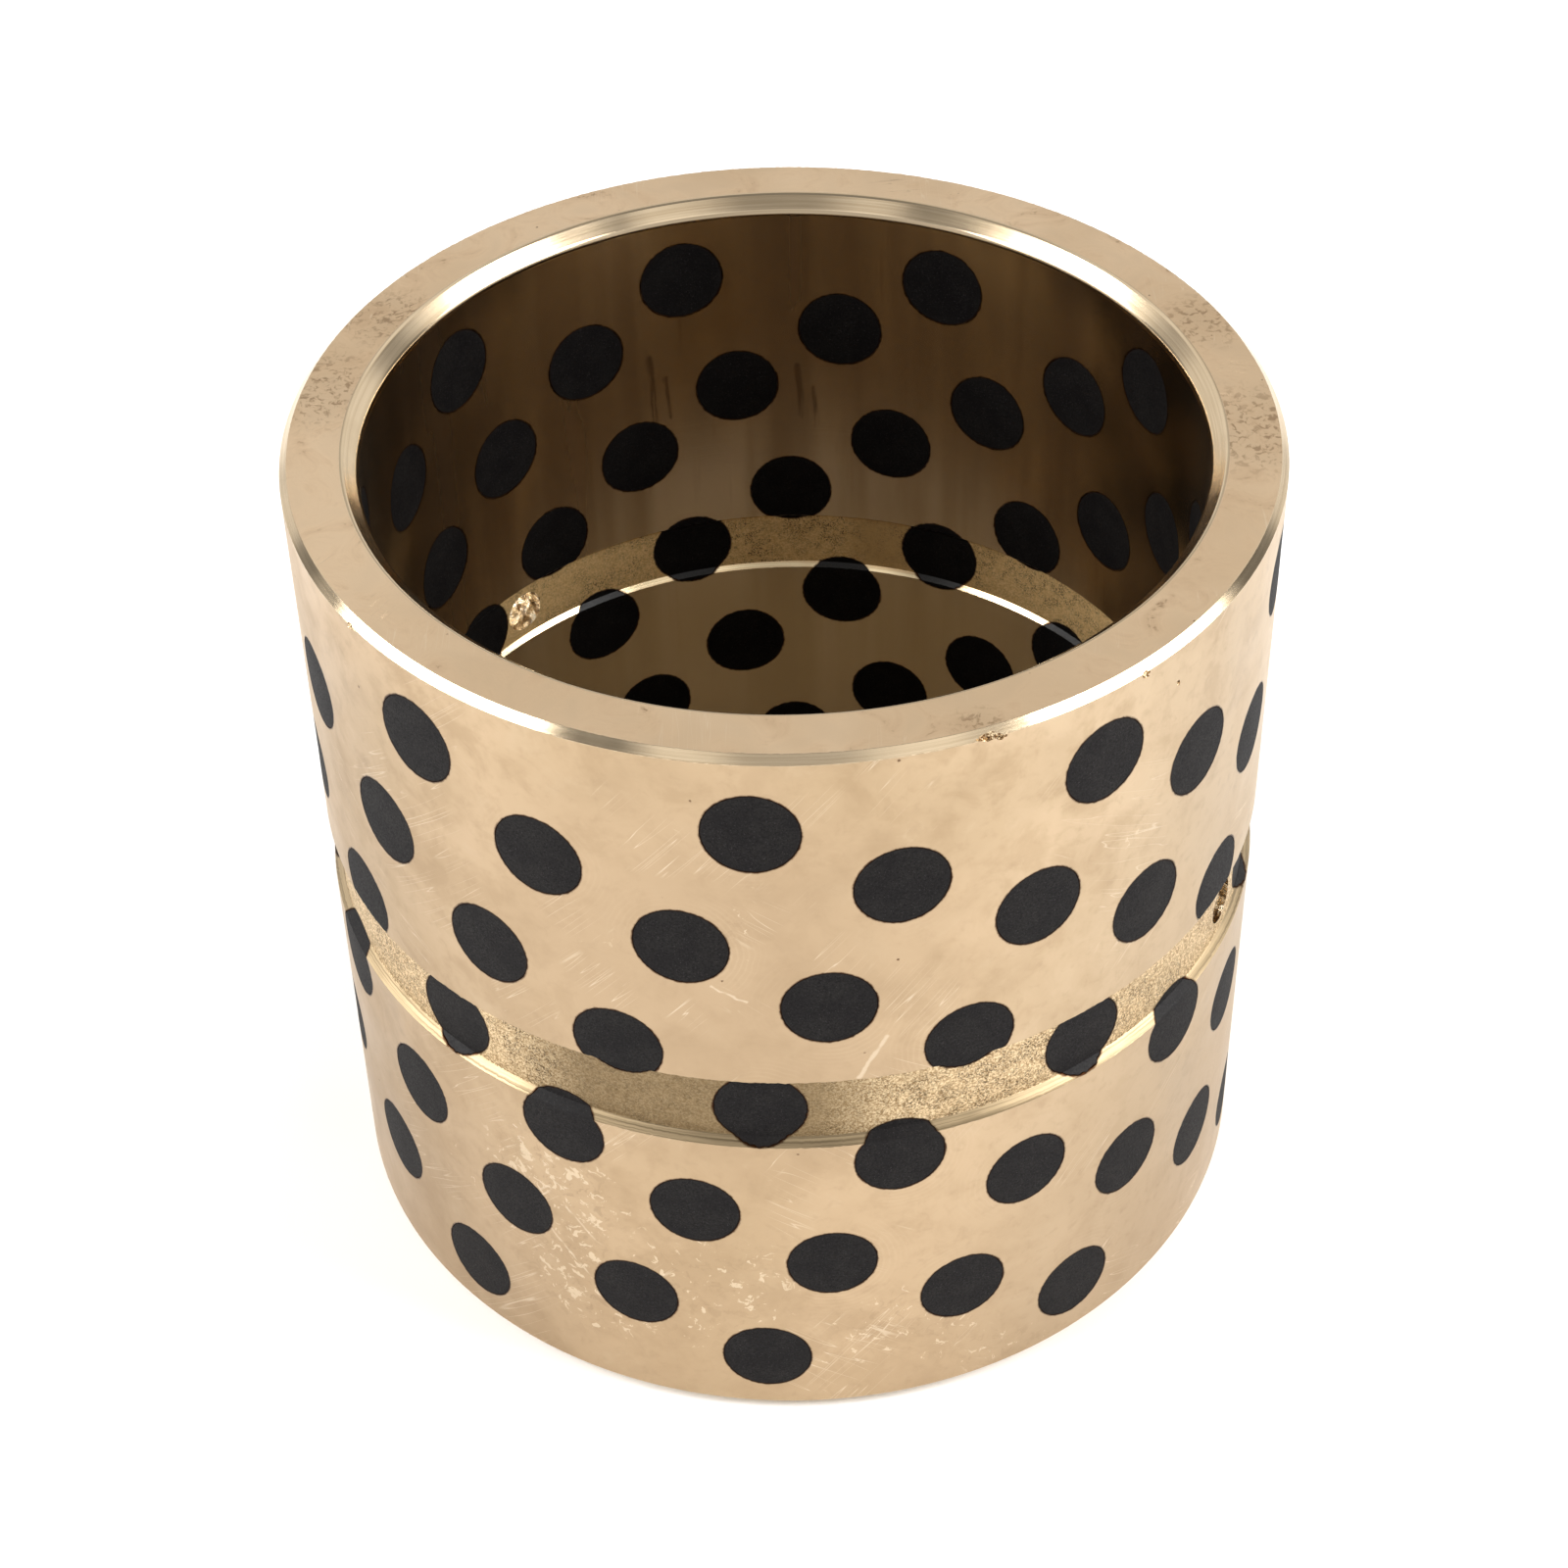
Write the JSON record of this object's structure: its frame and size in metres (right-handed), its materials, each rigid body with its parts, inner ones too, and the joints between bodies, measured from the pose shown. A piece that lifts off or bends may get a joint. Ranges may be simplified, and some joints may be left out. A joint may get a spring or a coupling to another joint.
{
  "type": "graphite-plugged sleeve bushing",
  "caption": "Plain bronze sleeve bearing with graphite plugs through its wall, chamfered ends and a grease groove inside and out.",
  "frame": {"origin": "centre of the lower end face", "axes": "+Z along the bushing's axis, from the end with the larger outside chamfer to the other; -Y is the side from which the plug angles are counted"},
  "size_m": [0.13, 0.13, 0.12],
  "materials": {
    "bronze": "turned satin bronze",
    "graphite": "matt machined graphite"
  },
  "bodies": {
    "root": {"bushing_body": "bronze", "plugs_ring_01_a": "graphite", "plugs_ring_01_b": "graphite", "plugs_ring_01_c": "graphite", "plugs_ring_02_a": "graphite", "plugs_ring_02_b": "graphite", "plugs_ring_02_c": "graphite", "plugs_ring_03_a": "graphite", "plugs_ring_03_b": "graphite", "plugs_ring_03_c": "graphite", "plugs_ring_04_a": "graphite", "plugs_ring_04_b": "graphite", "plugs_ring_04_c": "graphite", "plugs_ring_05_a": "graphite", "plugs_ring_05_b": "graphite", "plugs_ring_05_c": "graphite", "plugs_ring_06_a": "graphite", "plugs_ring_06_b": "graphite", "plugs_ring_06_c": "graphite", "plugs_ring_07_a": "graphite", "plugs_ring_07_b": "graphite", "plugs_ring_07_c": "graphite", "plugs_ring_08_a": "graphite", "plugs_ring_08_b": "graphite", "plugs_ring_08_c": "graphite", "plugs_ring_09_a": "graphite", "plugs_ring_09_b": "graphite", "plugs_ring_09_c": "graphite", "plugs_ring_10_a": "graphite", "plugs_ring_10_b": "graphite", "plugs_ring_10_c": "graphite", "plugs_ring_11_a": "graphite", "plugs_ring_11_b": "graphite", "plugs_ring_11_c": "graphite"}
  },
  "joints": []
}
